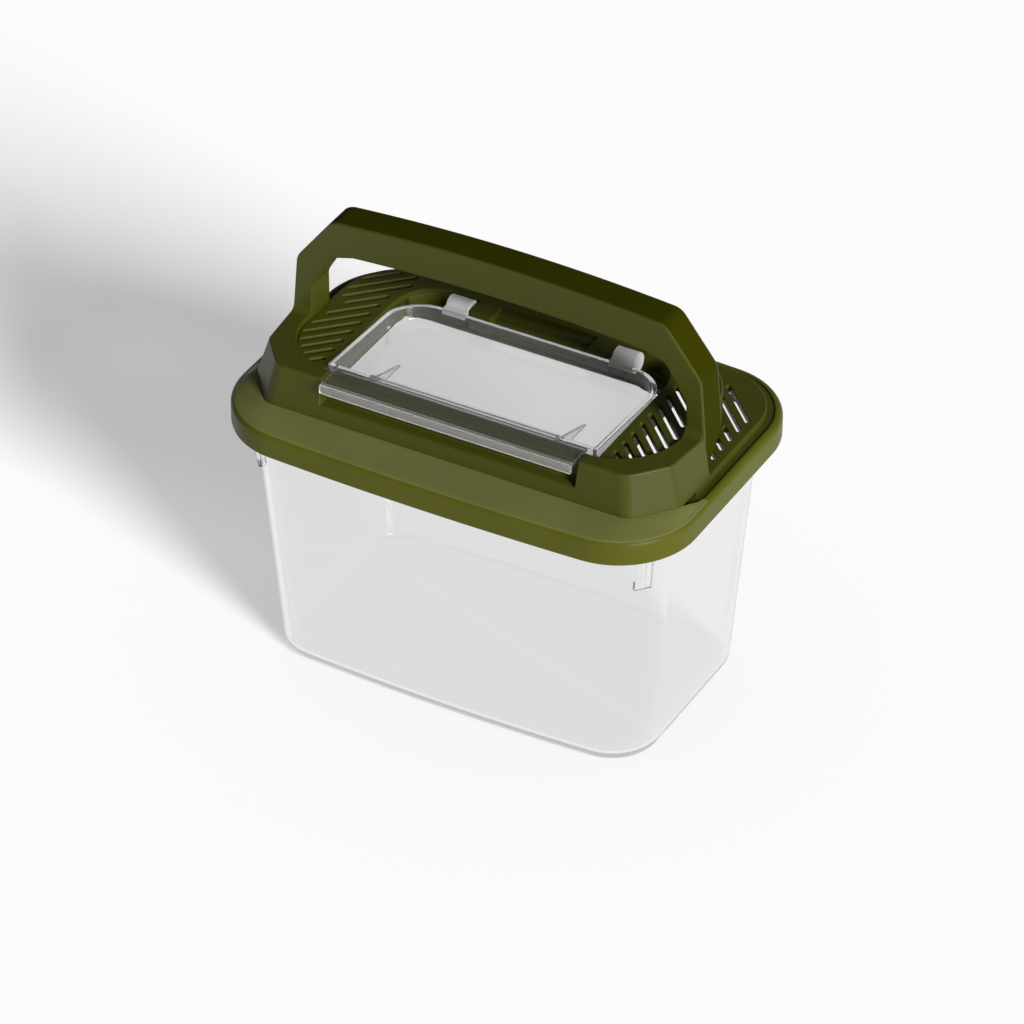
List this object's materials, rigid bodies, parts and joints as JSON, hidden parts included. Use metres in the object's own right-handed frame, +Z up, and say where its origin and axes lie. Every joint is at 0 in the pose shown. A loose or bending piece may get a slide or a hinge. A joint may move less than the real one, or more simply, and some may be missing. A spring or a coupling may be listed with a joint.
{
  "type": "plastic pet keeper",
  "caption": "Small clear plastic pet keeper with a drafted tank, a vented olive lid, a fixed carrying arch and a hinged clear feeding door.",
  "frame": {"origin": "under the middle of the tank, on the surface that it stands on", "axes": "+X to the right along the lid's length, -Y towards the door's pull lip at the front, +Z up"},
  "size_m": [0.15, 0.1, 0.14],
  "materials": {
    "clear_tank": "clear gloss",
    "olive_plastic": "fine satin",
    "clear_door": "clear gloss"
  },
  "bodies": {
    "tank": {"tank": "clear_tank"},
    "lid": {"lid_skirt": "olive_plastic", "lid_deck": "olive_plastic", "plateau_wall": "olive_plastic", "grille_plate": "olive_plastic", "crown": "olive_plastic", "handle": "olive_plastic", "hinge_shelf": "olive_plastic", "hinge_bar": "olive_plastic", "hinge_lug_left": "olive_plastic", "hinge_lug_right": "olive_plastic", "hinge_pin_left": "olive_plastic", "hinge_pin_right": "olive_plastic"},
    "door": {"door_tray": "clear_door", "door_lip": "clear_door", "door_ribs": "clear_door", "door_clip_left": "clear_door", "door_clip_right": "clear_door"}
  },
  "joints": [
    {"name": "lid_lift", "type": "slide", "parent": "tank", "child": "lid", "axis": [0, 0, 1], "range_m": [0, 0.04]},
    {"name": "door_hinge", "type": "hinge", "parent": "lid", "child": "door", "pos_m": [0, 0.0226, 0.1], "axis": [-1, 0, 0], "range_deg": [0, 38]}
  ]
}
